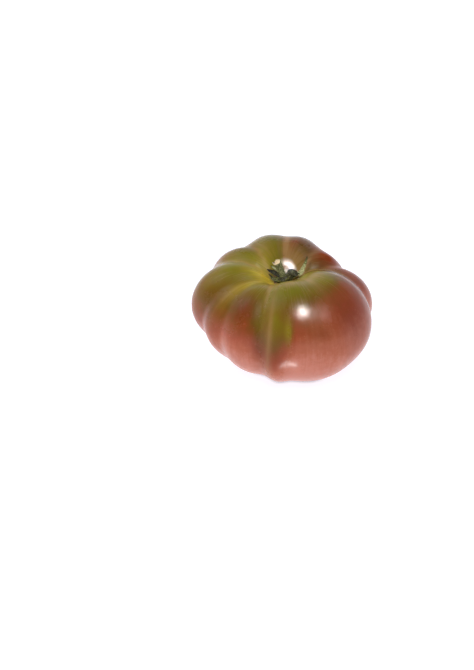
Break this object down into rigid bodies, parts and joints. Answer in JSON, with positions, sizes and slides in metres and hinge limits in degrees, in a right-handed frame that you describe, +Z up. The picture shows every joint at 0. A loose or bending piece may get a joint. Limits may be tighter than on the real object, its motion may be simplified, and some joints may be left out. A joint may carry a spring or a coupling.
{
  "type": "tomato",
  "caption": "Whole ribbed beefsteak tomato with swollen lobes, a deep stem hollow and a dried curled calyx, resting on its blossom end.",
  "frame": {"origin": "on the surface the tomato rests on, under the middle of its outline", "axes": "+Z up along the stem; -Y towards the side with the largest lobe; X across the widest reach of the lobes"},
  "size_m": [0.096, 0.0902, 0.058],
  "materials": {
    "skin": "smooth glossy tomato skin, brownish red with olive green shoulders and yellowish furrows",
    "dried_calyx": "dull dried green-brown plant tissue"
  },
  "bodies": {
    "root": {"fruit": "skin", "calyx": "dried_calyx"}
  },
  "joints": []
}
